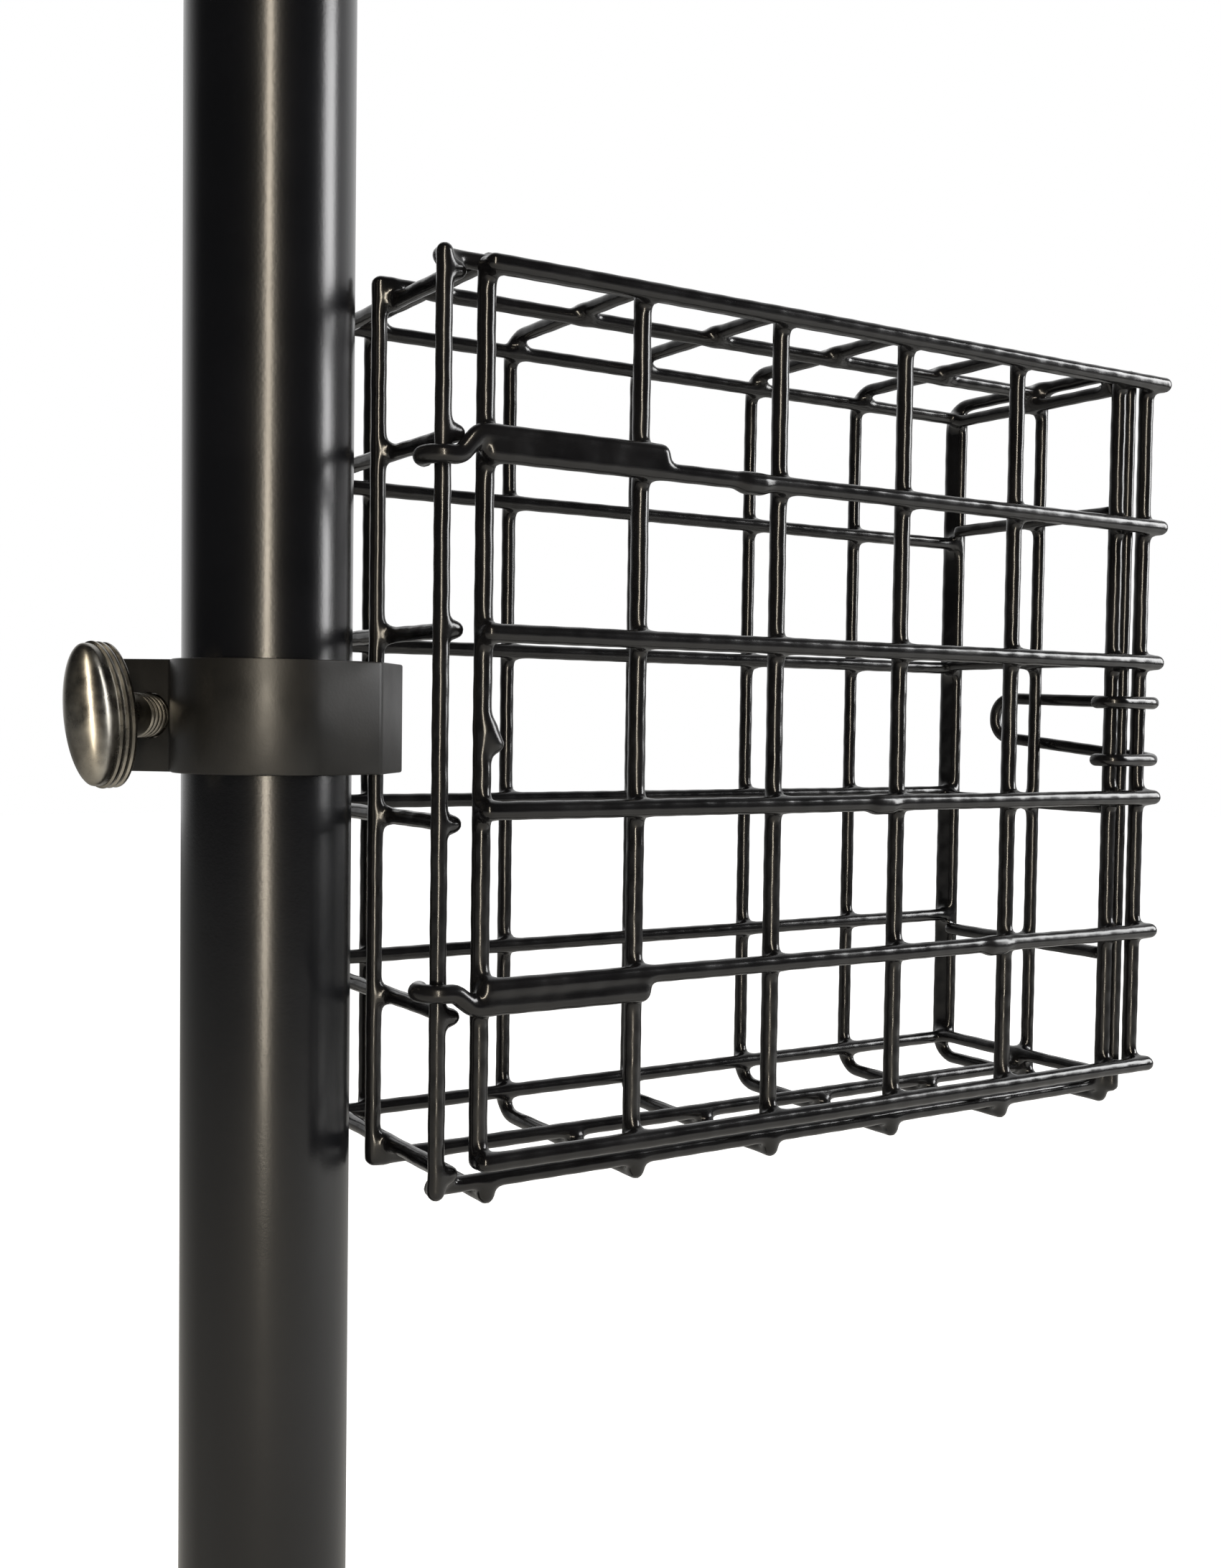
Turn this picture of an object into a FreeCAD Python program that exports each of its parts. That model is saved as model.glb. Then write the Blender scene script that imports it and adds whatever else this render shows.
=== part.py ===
"""Suet feeder clamped to a section of garden pole, as a parametric FreeCAD document.

Frame: the origin is the centre of the pole section's lower end, +Z runs up the pole, +X runs along the
width of the cage away from the pole, and the cage's door faces -Y. Lengths are in millimetres.
"""
import FreeCAD
import Part

import math
import os

Vector = FreeCAD.Vector
Rotation = FreeCAD.Rotation
Placement = FreeCAD.Placement

X_AXIS = Vector(1, 0, 0)
Y_AXIS = Vector(0, 1, 0)
Z_AXIS = Vector(0, 0, 1)

doc = FreeCAD.newDocument("suet_feeder_on_pole")

# ---------------------------------------------------------------- driving dimensions
SIZES = {
    # pole section
    "pole_length": 400.0,
    "pole_diameter": 24.0,
    "pole_wall": 1.2,
    "spigot_length": 35.0,
    "spigot_fit": 0.1,
    "spigot_taper": 4.0,
    # coated wire, over its coating
    "cage_wire": 2.3,
    "door_wire": 2.6,
    "latch_wire": 2.2,
    "loose_gap": 0.3,
    # cage body
    "feeder_height": 200.0,
    "cage_width": 136.65,
    "mid_depth": 20.95,
    "back_depth": 42.25,
    "cage_rise": 127.7,
    "cage_drop": 1.35,
    "hoop_count": 6,
    "hoop_pitch": 25.4,
    "hoop_inset": 9.25,
    "hoop_bend": 4.5,
    "hoop_front_lip": 1.75,
    "back_rail_share": 0.1946,
    "back_rail_lift": 0.15,
    "end_upright_over": 0.95,
    "end_rail_share": 0.2075,
    "end_rail_over": 0.6,
    # door
    "door_inset": 6.35,
    "door_upright_count": 6,
    "door_upright_pitch": 25.4,
    "door_shorter": 5.3,
    "door_top_pitch": 25.4,
    "door_edge_pitch": 7.2,
    "door_rail_over": 10.0,
    "hook_upper_reach": 28.4,
    "hook_lower_reach": 26.3,
    "hook_upper_step": 3.4,
    "hook_lower_step": 2.25,
    "hook_step_outer": 4.05,
    "hook_step_inner": 1.3,
    "hook_bend": 2.2,
    "hook_wrap": 150.0,
    # latch clip
    "clip_reach": 10.5,
    "clip_eye_span": 10.3,
    "clip_eye_drop": 0.85,
    "clip_nose_span": 7.5,
    "clip_nose_rise": 1.5,
    "clip_nose_shift": 4.7,
    "clip_length": 32.6,
    "clip_bend": 3.2,
    "clip_wrap": 135.0,
    # clamp strap
    "strap_thick": 1.5,
    "strap_width": 16.0,
    "strap_drop": 0.3,
    "strap_angle": -40.52,
    "strap_fit": 0.05,
    "web_angle": 24.12,
    "upright_gap": 2.44,
    "web_contact": 0.1,
    "web_start": 0.3,
    "web_front_bend": 1.0,
    "web_back_bend": 2.6,
    "tab_offset": 3.75,
    "tab_bend": 1.25,
    "tab_length": 21.8,
    "collar_wall": 1.1,
    "collar_height": 2.5,
    # thumb screw
    "screw_diameter": 6.35,
    "screw_hole": 6.7,
    "screw_fit": 0.05,
    "screw_clear": 1.0,
    "screw_stand_off": 11.0,
    "screw_past_collar": 2.0,
    "grip_height": 19.0,
    "grip_width": 6.8,
    "grip_rim": 7.0,
    "grip_dome": 2.8,
    "grip_turn": 5.4,
    "grip_ridges": 3,
    "grip_ridge": 0.35,
    "grip_ridge_width": 0.9,
    "grip_ridge_pitch": 1.9,
}

sheet = doc.addObject("Spreadsheet::Sheet", "sizes")
for row, (alias, number) in enumerate(SIZES.items(), start=1):
    sheet.set(f"A{row}", alias)
    sheet.set(f"B{row}", str(number))
    sheet.setAlias(f"B{row}", alias)
doc.recompute()

derived = []


def size(alias):
    """A dimension, read back from the sheet."""
    return float(sheet.get(alias))


def derive(alias, formula):
    """Adds a dimension that follows from others to the sheet, and returns its value."""
    row = len(SIZES) + len(derived) + 2
    sheet.set(f"A{row}", alias)
    sheet.set(f"B{row}", "=" + formula)
    sheet.setAlias(f"B{row}", alias)
    derived.append(alias)
    doc.recompute()
    return size(alias)


# ---------------------------------------------------------------- derived places
# The left end's middle upright stands beside the pole, inside the strap's pocket. Every other place of
# the cage is counted from it.
upright_reach = derive("upright_reach", "pole_diameter / 2 + upright_gap + cage_wire / 2")
left_end_x = derive("left_end_x", "upright_reach * cos((strap_angle + web_angle) * 1deg)")
mid_y = derive("mid_y", "upright_reach * sin((strap_angle + web_angle) * 1deg)")
front_y = derive("front_y", "mid_y - mid_depth")
back_y = derive("back_y", "front_y + back_depth")
right_end_x = derive("right_end_x", "left_end_x + cage_width")
cage_mid_z = derive("cage_mid_z", "feeder_height - cage_drop")
top_wire_z = derive("top_wire_z", "cage_mid_z + cage_rise / 2")
bottom_wire_z = derive("bottom_wire_z", "cage_mid_z - cage_rise / 2")
back_rail_pitch = derive("back_rail_pitch", "cage_rise * back_rail_share")
end_rail_pitch = derive("end_rail_pitch", "cage_rise * end_rail_share")

# The door's hooks curl loosely round the left front upright, and run on in the plane of its rails.
eye_radius = derive("eye_radius", "cage_wire / 2 + loose_gap + door_wire / 2")
door_rail_y = derive("door_rail_y", "front_y - eye_radius")
door_y = derive("door_y", "door_rail_y + door_wire")
door_left_x = derive("door_left_x", "left_end_x + door_inset")
door_right_x = derive("door_right_x", "door_left_x + (door_upright_count - 1) * door_upright_pitch")
door_drop = derive("door_drop", "cage_rise - door_shorter")
door_rail_pitch = derive("door_rail_pitch", "(door_drop - door_top_pitch) / 4")
door_top_z = derive("door_top_z", "feeder_height + door_drop / 2")
door_bottom_z = derive("door_bottom_z", "door_top_z - door_drop")
clip_eye = derive("clip_eye", "door_wire / 2 + loose_gap + latch_wire / 2")

# The front long wires lie one loose gap behind the door, and the hoops wrap the long wires.
front_wire_y = derive("front_wire_y", "door_y + door_wire / 2 + loose_gap + cage_wire / 2")
hoop_y = derive("hoop_y", "back_y + cage_wire")
hoop_top_z = derive("hoop_top_z", "top_wire_z + cage_wire")
hoop_bottom_z = derive("hoop_bottom_z", "bottom_wire_z - cage_wire")
hoop_front_y = derive("hoop_front_y", "front_wire_y - hoop_front_lip")

# The end rails stand inside the end uprights.
left_rail_x = derive("left_rail_x", "left_end_x + cage_wire")
right_rail_x = derive("right_rail_x", "right_end_x - cage_wire")

# The strap's own frame has +X from the pole's axis square to the web, and +Y away from the grip.
strap_z = derive("strap_z", "feeder_height - strap_drop")
ring_radius = derive("ring_radius", "pole_diameter / 2 + strap_fit + strap_thick / 2")
web_x = derive(
    "web_x", "upright_reach * cos(web_angle * 1deg) + cage_wire / 2 + web_contact + strap_thick / 2"
)
screw_x = derive("screw_x", "-(pole_diameter / 2 + screw_diameter / 2 + screw_clear)")
tab_face = derive("tab_face", "tab_offset + strap_thick / 2")
screw_head_y = derive("screw_head_y", "-(tab_face + screw_stand_off)")

parts = []


def keep(part, label):
    """Names a finished sub-part and lists it for export."""
    part.Label = label
    parts.append(part)
    return part


def qualified(formula):
    """The formula with each dimension's name written as a cell of the sheet."""
    text, word = "", ""
    for letter in formula + " ":
        if letter.isalnum() or letter == "_":
            word += letter
            continue
        known = word in SIZES or word in derived
        text += ("sizes." if known else "") + word + letter
        word = ""
    return text.strip()


def bind(part, **formulas):
    """Binds properties of an object to formulas over the sheet's dimensions."""
    for name, formula in formulas.items():
        part.setExpression(name.replace("__", "."), qualified(formula))
    return part


def place(part, x="0", y="0", z="0"):
    """Binds the base of an object's placement."""
    return bind(part, Placement__Base__x=x, Placement__Base__y=y, Placement__Base__z=z)


# ---------------------------------------------------------------- shared builders
def straight_wire(label, wire, axis, start, end, **spot):
    """A straight coated wire along an axis, between two places on it."""
    piece = doc.addObject("Part::Cylinder", label)
    turn = Rotation(Z_AXIS, {"x": X_AXIS, "y": Y_AXIS, "z": Z_AXIS}[axis])
    piece.Placement = Placement(Vector(), turn)
    bind(piece, Radius=f"{wire} / 2", Height=f"({end}) - ({start})")
    spot[axis] = start
    place(piece, **spot)
    return keep(piece, label)


def rounded_path(points, bends):
    """Straight runs through the points, with each inner corner rounded to its bend's radius."""
    curves = []
    start = points[0]
    for before, at, after, radius in zip(points, points[1:], points[2:], bends):
        into = (at - before).normalize()
        out = (after - at).normalize()
        half = into.getAngle(out) / 2
        begin = at - into * (radius * math.tan(half))
        finish = at + out * (radius * math.tan(half))
        crown = at + (out - into).normalize() * (radius / math.cos(half) - radius)
        if (begin - start).Length > 1e-6:
            curves.append(Part.LineSegment(start, begin))
        curves.append(Part.Arc(begin, crown, finish))
        start = finish
    if (points[-1] - start).Length > 1e-6:
        curves.append(Part.LineSegment(start, points[-1]))
    return curves


def curl_points(radius, tip_deg, front_deg, height):
    """The tip and corners of a path that curls about the origin from its tip to its front.

    The corners are where neighbouring tangents meet, so bends of the same radius follow the circle.
    """
    pieces = math.ceil(abs(front_deg - tip_deg) / 80)
    step = (front_deg - tip_deg) / pieces
    reach = radius / math.cos(math.radians(step / 2))
    corners = [polar(reach, tip_deg + step * (number + 0.5), height) for number in range(pieces)]
    return [polar(radius, tip_deg, height)] + corners


def polar(radius, degrees, height=0.0):
    """A place at an angle about the origin."""
    turn = math.radians(degrees)
    return Vector(radius * math.cos(turn), radius * math.sin(turn), height)


def bent_wire(label, wire, points, bends, **spot):
    """A coated wire bent in space, drawn about a local origin and then placed."""
    path = Part.Wire([curve.toShape() for curve in rounded_path(points, bends)])
    round_end = Part.Circle(points[0], points[1] - points[0], size(wire) / 2)
    piece = doc.addObject("Part::Feature", label)
    piece.Shape = path.makePipeShell([Part.Wire(round_end.toShape())], True, False)
    place(piece, **spot)
    return keep(piece, label)


def sketch_on(body, name, role, offset=None):
    """An empty sketch on one of the body's origin planes, moved by an offset in the plane's frame."""
    plane = next(feature for feature in body.Origin.OriginFeatures if feature.Role == role)
    sketch = body.newObject("Sketcher::SketchObject", name)
    sketch.AttachmentSupport = [(plane, "")]
    sketch.MapMode = "FlatFace"
    if offset:
        sketch.AttachmentOffset = Placement(offset, Rotation())
    return sketch


def draw(sketch, curves):
    """Adds curves to a sketch."""
    for curve in curves:
        sketch.addGeometry(curve, False)


def outline(corners):
    """The closed chain of straight edges through some corners."""
    spots = [Vector(across, up, 0) for across, up in corners]
    return [Part.LineSegment(*pair) for pair in zip(spots, spots[1:] + spots[:1])]


def sweep(body, path, section):
    """Sweeps a section along a path as the body's first feature."""
    doc.recompute()
    pipe = body.newObject("PartDesign::AdditivePipe", body.Name + "_sweep")
    pipe.Profile = section
    pipe.Spine = (path, [])
    body.Tip = pipe
    doc.recompute()


# ---------------------------------------------------------------- pole section
def build_pole():
    """The pole section: a tube whose upper end is swaged to push into the next section."""
    body = doc.addObject("PartDesign::Body", "pole")
    sketch = sketch_on(body, "pole_profile", "XZ_Plane")
    outer = size("pole_diameter") / 2
    wall = size("pole_wall")
    inner = outer - wall
    neck = inner - size("spigot_fit")
    length = size("pole_length")
    shoulder = length - size("spigot_length")
    swage = shoulder - size("spigot_taper")
    draw(sketch, outline([
        (inner, 0), (outer, 0), (outer, swage), (neck, shoulder),
        (neck, length), (neck - wall, length), (neck - wall, shoulder), (inner, swage),
    ]))
    turning = body.newObject("PartDesign::Revolution", "pole_turning")
    turning.Profile = sketch
    turning.ReferenceAxis = (sketch, ["V_Axis"])
    turning.Angle = 360
    body.Tip = turning
    keep(body, "pole")


# ---------------------------------------------------------------- cage body
def build_hoops():
    """The body's hoops: each runs over the long wires, down behind them and back under them."""
    corners = [
        Vector(hoop_front_y, hoop_bottom_z), Vector(hoop_y, hoop_bottom_z),
        Vector(hoop_y, hoop_top_z), Vector(hoop_front_y, hoop_top_z),
    ]
    for number in range(1, int(size("hoop_count")) + 1):
        name = f"hoop_{number}"
        body = doc.addObject("PartDesign::Body", name)
        path = sketch_on(body, name + "_path", "YZ_Plane")
        draw(path, rounded_path(corners, [size("hoop_bend")] * 2))
        # the XZ plane's normal runs along -Y
        section = sketch_on(body, name + "_section", "XZ_Plane", Vector(0, hoop_bottom_z, -hoop_front_y))
        draw(section, [Part.Circle(Vector(), Z_AXIS, size("cage_wire") / 2)])
        sweep(body, path, section)
        place(body, x=f"left_end_x + hoop_inset + {number - 1} * hoop_pitch")
        keep(body, name)


def build_long_wires():
    """The long wires across the cage's width, on the inner side of the hoops."""
    corner_span = ("left_end_x - loose_gap", "right_end_x + loose_gap")
    inner_span = ("left_end_x + cage_wire / 2", "right_end_x - cage_wire / 2")
    for side, height in (("top", "top_wire_z"), ("bottom", "bottom_wire_z")):
        straight_wire(f"{side}_front_rail", "cage_wire", "x", *corner_span, y="front_wire_y", z=height)
        straight_wire(f"{side}_middle_rail", "cage_wire", "x", *inner_span, y="mid_y", z=height)

    # a back rail that lies beyond the start of the hoops' bends nests in them
    for number in range(1, 7):
        height = f"cage_mid_z + back_rail_lift + {3.5 - number} * back_rail_pitch"
        above = f"({height}) - (hoop_top_z - hoop_bend)"
        below = f"(hoop_bottom_z + hoop_bend) - ({height})"
        nested = f"sqrt((hoop_bend - cage_wire)^2 - max(0; {above}; {below})^2)"
        straight_wire(
            f"back_rail_{number}", "cage_wire", "x", *inner_span,
            y=f"hoop_y - hoop_bend + {nested}", z=height,
        )


def build_ends():
    """Both ends of the cage: three uprights outside, six rails inside them."""
    # the right end's rails stop short of the door's last upright, and its front upright stands against
    # the front long wires
    sides = {
        "left": ("left_end_x", "left_rail_x", "front_y", "front_y - end_rail_over"),
        "right": (
            "right_end_x", "right_rail_x", "front_wire_y - cage_wire",
            "door_y + door_wire / 2 + loose_gap",
        ),
    }
    long_run = ("bottom_wire_z - end_upright_over", "top_wire_z + end_upright_over")
    short_run = ("bottom_wire_z + cage_wire / 2", "top_wire_z - cage_wire / 2")
    heights = ["top_wire_z - cage_wire"]
    heights += [f"cage_mid_z + {3.5 - number} * end_rail_pitch" for number in (2, 3, 4, 5)]
    heights += ["bottom_wire_z + cage_wire"]
    for side, (upright_x, rail_x, front, rail_start) in sides.items():
        uprights = {
            "front": (front, long_run),
            "middle": ("mid_y", long_run),
            "back": ("back_y - 0.1", short_run),
        }
        for spot, (depth, run) in uprights.items():
            straight_wire(
                f"{side}_end_upright_{spot}", "cage_wire", "z", *run, x=upright_x, y=depth
            )
        for number, height in enumerate(heights, start=1):
            straight_wire(
                f"{side}_end_rail_{number}", "cage_wire", "y",
                rail_start, "back_y - cage_wire / 2 - loose_gap", x=rail_x, z=height,
            )


# ---------------------------------------------------------------- door
def door_rail_height(number):
    """The formula for the height of one of the door's rails, counted from the top."""
    if number == 1:
        return "door_top_z"
    return f"door_top_z - door_top_pitch - {number - 2} * door_rail_pitch"


def build_door():
    """The door: evenly spaced uprights and one at its free edge, with six rails across their front."""
    count = int(size("door_upright_count"))
    places = [f"door_left_x + {number} * door_upright_pitch" for number in range(count)]
    for number, spot in enumerate(places + ["door_right_x + door_edge_pitch"], start=1):
        straight_wire(
            f"door_upright_{number}", "door_wire", "z",
            "door_bottom_z - door_wire / 2", "door_top_z + door_wire / 2", x=spot, y="door_y",
        )
    for number in range(1, 7):
        straight_wire(
            f"door_rail_{number}", "door_wire", "x",
            "door_left_x - door_wire / 2", "door_right_x + door_rail_over",
            y="door_rail_y", z=door_rail_height(number),
        )


def build_hinge_hooks():
    """Two wires welded along door rails, each stepped in height and curled round the hinge upright."""
    hooks = {
        "upper": (size("hook_upper_reach"), size("hook_upper_step"), 2, "+"),
        "lower": (size("hook_lower_reach"), -size("hook_lower_step"), 5, "-"),
    }
    for side, (reach, step, rail, stack) in hooks.items():
        points = curl_points(eye_radius, 270 - size("hook_wrap"), 270, 0)
        curls = len(points) - 1
        points += [
            Vector(size("hook_step_inner"), -eye_radius, 0),
            Vector(size("hook_step_outer"), -eye_radius, step),
            Vector(size("door_inset") + reach, -eye_radius, step),
        ]
        bends = [eye_radius] * curls + [size("hook_bend")] * 2
        bent_wire(
            f"hinge_hook_{side}", "door_wire", points, bends, x="left_end_x", y="front_y",
            z=f"{door_rail_height(rail)} {stack} door_wire - ({step})",
        )


def build_latch():
    """The latch clip: one wire bent to a hairpin, with both ends curled round the door's last upright."""
    def half(sign):
        """The corners of one leg, from its curled end to the hairpin's nose."""
        eye_z = sign * size("clip_eye_span") / 2 - size("clip_eye_drop")
        nose_z = sign * size("clip_nose_span") / 2 + size("clip_nose_rise")
        points = curl_points(clip_eye, 270 - size("clip_wrap"), 270, eye_z)
        points.append(Vector(size("clip_reach"), -clip_eye, eye_z))
        points.append(Vector(size("clip_nose_shift"), size("clip_length"), nose_z))
        return points

    upper, lower = half(1), half(-1)
    curls = [clip_eye] * (len(upper) - 3)
    nose = size("clip_nose_span") / 2 * 0.95
    bends = curls + [size("clip_bend"), nose]
    bent_wire(
        "latch_clip", "latch_wire", upper + lower[::-1], bends + bends[::-1],
        x="door_right_x", y="door_y", z="feeder_height",
    )


# ---------------------------------------------------------------- clamp
def arc_about(centre, radius, start_deg, end_deg):
    """A circular arc in a sketch's plane, counter-clockwise between two angles."""
    circle = Part.Circle(centre, Z_AXIS, radius)
    return Part.ArcOfCircle(circle, math.radians(start_deg), math.radians(end_deg))


def strap_curves():
    """The strap's centre line in its own frame: tab, ring, pocket round the upright, ring, tab."""
    offset, bend = size("tab_offset"), size("tab_bend")
    tab_end = -size("tab_length")
    root = Vector(-math.sqrt((ring_radius + bend) ** 2 - (offset + bend) ** 2), offset + bend)
    root_deg = math.degrees(math.atan2(root.y, root.x))
    front_root = Vector(root.x, -root.y)

    # the front flank leaves the ring as a tangent towards the pocket's front corner
    front_corner, back_corner = Vector(web_x, size("web_start")), Vector(web_x, ring_radius)
    corner_deg = math.degrees(math.atan2(front_corner.y, front_corner.x))
    leave_deg = corner_deg - math.degrees(math.acos(ring_radius / front_corner.Length))
    leave, meet = polar(ring_radius, leave_deg), Vector(0, ring_radius)
    pocket = rounded_path(
        [leave, front_corner, back_corner, meet], [size("web_front_bend"), size("web_back_bend")]
    )
    return [
        Part.LineSegment(Vector(tab_end, -offset), Vector(root.x, -offset)),
        arc_about(front_root, bend, -root_deg + 180, 90 + 360 * (root_deg > 180)),
        arc_about(Vector(), ring_radius, -root_deg, leave_deg),
        *pocket,
        arc_about(Vector(), ring_radius, 90, root_deg),
        arc_about(root, bend, -90, root_deg - 180),
        Part.LineSegment(Vector(root.x, offset), Vector(tab_end, offset)),
    ]


def build_strap():
    """The clamp strap, with a clear hole in its front tab and a threaded collar on its back tab."""
    body = doc.addObject("PartDesign::Body", "clamp_strap")
    path = sketch_on(body, "strap_path", "XY_Plane")
    draw(path, strap_curves())
    thick, width = size("strap_thick") / 2, size("strap_width") / 2
    start = Vector(-size("tab_offset"), 0, -size("tab_length"))
    section = sketch_on(body, "strap_section", "YZ_Plane", start)
    draw(section, outline([(-thick, -width), (thick, -width), (thick, width), (-thick, width)]))
    sweep(body, path, section)

    # the XZ plane's normal runs along -Y
    collar_radius = size("screw_diameter") / 2 + size("collar_wall")
    ring = sketch_on(body, "collar_outline", "XZ_Plane", Vector(screw_x, 0, -size("tab_offset")))
    draw(ring, [Part.Circle(Vector(), Z_AXIS, collar_radius)])
    collar = body.newObject("PartDesign::Pad", "collar")
    collar.Profile = ring
    collar.Reversed = True
    bind(collar, Length="strap_thick / 2 + collar_height")
    body.Tip = collar
    doc.recompute()

    bores = {
        "front": (size("screw_hole") / 2, True, size("strap_thick")),
        "back": (
            size("screw_diameter") / 2 + size("screw_fit"), False,
            size("strap_thick") + size("collar_height"),
        ),
    }
    for side, (radius, towards_front, depth) in bores.items():
        before = body.Shape.Volume
        hole = sketch_on(body, f"{side}_hole", "XZ_Plane", Vector(screw_x, 0, 0))
        draw(hole, [Part.Circle(Vector(), Z_AXIS, radius)])
        drilling = body.newObject("PartDesign::Pocket", f"{side}_drilling")
        drilling.Profile = hole
        drilling.Type = "ThroughAll"
        drilling.Reversed = towards_front
        body.Tip = drilling
        doc.recompute()
        taken = before - body.Shape.Volume
        expected = math.pi * radius ** 2 * depth
        if abs(taken - expected) > 0.05 * expected:
            raise RuntimeError(f"the {side} tab's hole takes {taken:.1f} mm3 and not {expected:.1f}")
    place_in_strap(body)
    keep(body, "clamp_strap")


def place_in_strap(part, x=0.0, y=0.0, turn=None):
    """Places an object that is given in the strap's own frame."""
    swing = Rotation(Z_AXIS, size("strap_angle"))
    spot = swing.multVec(Vector(x, y, 0)) + Vector(0, 0, strap_z)
    part.Placement = Placement(spot, swing.multiply(turn) if turn else swing)


def oval_slab(name, grow, start, height):
    """An oval slab of the grip, some way larger than the grip all round."""
    edge = doc.addObject("Part::Ellipse", name + "_edge")
    bind(edge, MajorRadius=f"grip_height / 2 + {grow}", MinorRadius=f"grip_width / 2 + {grow}")
    slab = doc.addObject("Part::Extrusion", name)
    slab.Base = edge
    slab.DirMode = "Custom"
    slab.Dir = Z_AXIS
    slab.Solid = True
    bind(slab, LengthFwd=height)
    place(slab, z=start)
    return slab


def build_screw():
    """The thumb screw: an oval domed grip with ridges round its rim, on a threaded shank."""
    length = "tab_face + collar_height + screw_past_collar - screw_head_y"
    shank = doc.addObject("Part::Cylinder", "screw_shank")
    bind(shank, Radius="screw_diameter / 2", Height=length)
    place(shank, z=f"-({length})")
    pieces = [shank, oval_slab("grip_body", "0", "0", "grip_rim")]
    for number in range(int(size("grip_ridges"))):
        start = f"grip_ridge_width / 2 + {number} * grip_ridge_pitch"
        pieces.append(oval_slab(f"grip_ridge_{number + 1}", "grip_ridge", start, "grip_ridge_width"))
    dome = doc.addObject("Part::Ellipsoid", "grip_dome_piece")
    dome.Angle1 = 0
    bind(dome, Radius1="grip_dome", Radius2="grip_height / 2", Radius3="grip_width / 2")
    place(dome, z="grip_rim")
    screw = doc.addObject("Part::MultiFuse", "thumb_screw")
    screw.Shapes = pieces + [dome]
    # the shank lies across the strap, and the grip's long side stands nearly upright
    lying = Rotation(Z_AXIS, X_AXIS * -1, Y_AXIS * -1, "ZXY")
    place_in_strap(screw, screw_x, screw_head_y, Rotation(Y_AXIS, -size("grip_turn")).multiply(lying))
    keep(screw, "thumb_screw")


build_pole()
build_hoops()
build_long_wires()
build_ends()
build_door()
build_hinge_hooks()
build_latch()
build_strap()
build_screw()
doc.recompute()

# ---------------------------------------------------------------- checks and export
faults = [item.Name for item in doc.Objects if {"Invalid", "Error"} & set(item.State)]
if faults:
    raise RuntimeError("objects that failed: " + ", ".join(faults))
for part in parts:
    if part.Shape.isNull() or not part.Shape.isValid() or len(part.Shape.Solids) != 1:
        raise RuntimeError(part.Label + " isn't one valid solid")

os.makedirs("parts", exist_ok=True)
for part in parts:
    part.Shape.exportStep(os.path.join("parts", part.Label + ".step"))
print(len(parts), "sub-parts written")
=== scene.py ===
"""Dressed model of a suet feeder clamped to a garden pole.

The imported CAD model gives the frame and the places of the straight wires, hoops, hinge and latch. Bent
wires, the tube, the strap and the screw keep their own sizes here. Each sub-assembly is a class that
builds its meshes in millimetres and dresses them in a finish.
"""

import logging
import math
from dataclasses import dataclass, field
from enum import Enum
from itertools import product
from typing import Any, Iterable, Sequence

import bpy
import numpy as np
from mathutils import Matrix, Vector


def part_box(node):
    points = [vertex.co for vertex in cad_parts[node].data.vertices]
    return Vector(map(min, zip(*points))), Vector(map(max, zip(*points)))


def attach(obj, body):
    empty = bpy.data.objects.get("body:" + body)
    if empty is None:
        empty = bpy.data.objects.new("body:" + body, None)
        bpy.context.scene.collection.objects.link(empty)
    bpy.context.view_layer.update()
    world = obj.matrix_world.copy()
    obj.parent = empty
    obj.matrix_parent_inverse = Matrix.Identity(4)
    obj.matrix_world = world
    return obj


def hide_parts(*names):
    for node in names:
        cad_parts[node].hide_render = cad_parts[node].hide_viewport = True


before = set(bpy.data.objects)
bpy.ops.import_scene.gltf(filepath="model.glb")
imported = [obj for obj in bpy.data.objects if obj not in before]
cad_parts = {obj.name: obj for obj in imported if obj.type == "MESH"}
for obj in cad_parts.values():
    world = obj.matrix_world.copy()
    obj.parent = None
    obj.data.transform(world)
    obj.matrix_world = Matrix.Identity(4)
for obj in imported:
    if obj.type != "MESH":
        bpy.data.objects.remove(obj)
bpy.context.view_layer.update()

log = logging.getLogger("suet_feeder")

MM = 0.001
Array = np.ndarray
Point = tuple[float, float, float]
Segment = tuple[Array, Array, float]


# ---------------------------------------------------------------- frame helpers
class Join(Enum):
    """The ways in which a plug changes the piece that it meets."""

    ADD = "UNION"
    CUT = "DIFFERENCE"


def node_box(node: str) -> tuple[Array, Array]:
    """Gives a CAD node's box in millimetres.

    Args:
        node: the CAD node's name.

    Returns:
        Its lowest and highest corners.
    """
    low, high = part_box(node)
    return np.array(low) / MM, np.array(high) / MM


def nodes_named(*starts: str) -> list[str]:
    """Lists the CAD nodes whose names start in one of the given ways.

    Args:
        starts: the starts of names.

    Returns:
        The names in order.
    """
    return sorted(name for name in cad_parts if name.startswith(starts))


# ---------------------------------------------------------------- mesh helpers
def mesh_object(name: str, vertices: Array, faces: Iterable[Sequence[int]], sharp_deg: float) -> Any:
    """Makes a mesh object from places in millimetres.

    Args:
        name: the piece's name.
        vertices: an array of places in millimetres, in the row's frame.
        faces: the vertex numbers of each face.
        sharp_deg: the angle above which an edge is shown sharp.

    Returns:
        The new object.
    """
    mesh = bpy.data.meshes.new(name)
    mesh.from_pydata((np.asarray(vertices, float) * MM).tolist(), [], [list(map(int, f)) for f in faces])
    mesh.validate()
    mesh.polygons.foreach_set("use_smooth", [True] * len(mesh.polygons))
    mesh.set_sharp_from_angle(angle=math.radians(sharp_deg))
    piece = bpy.data.objects.new(name, mesh)
    bpy.context.scene.collection.objects.link(piece)
    return piece


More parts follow.
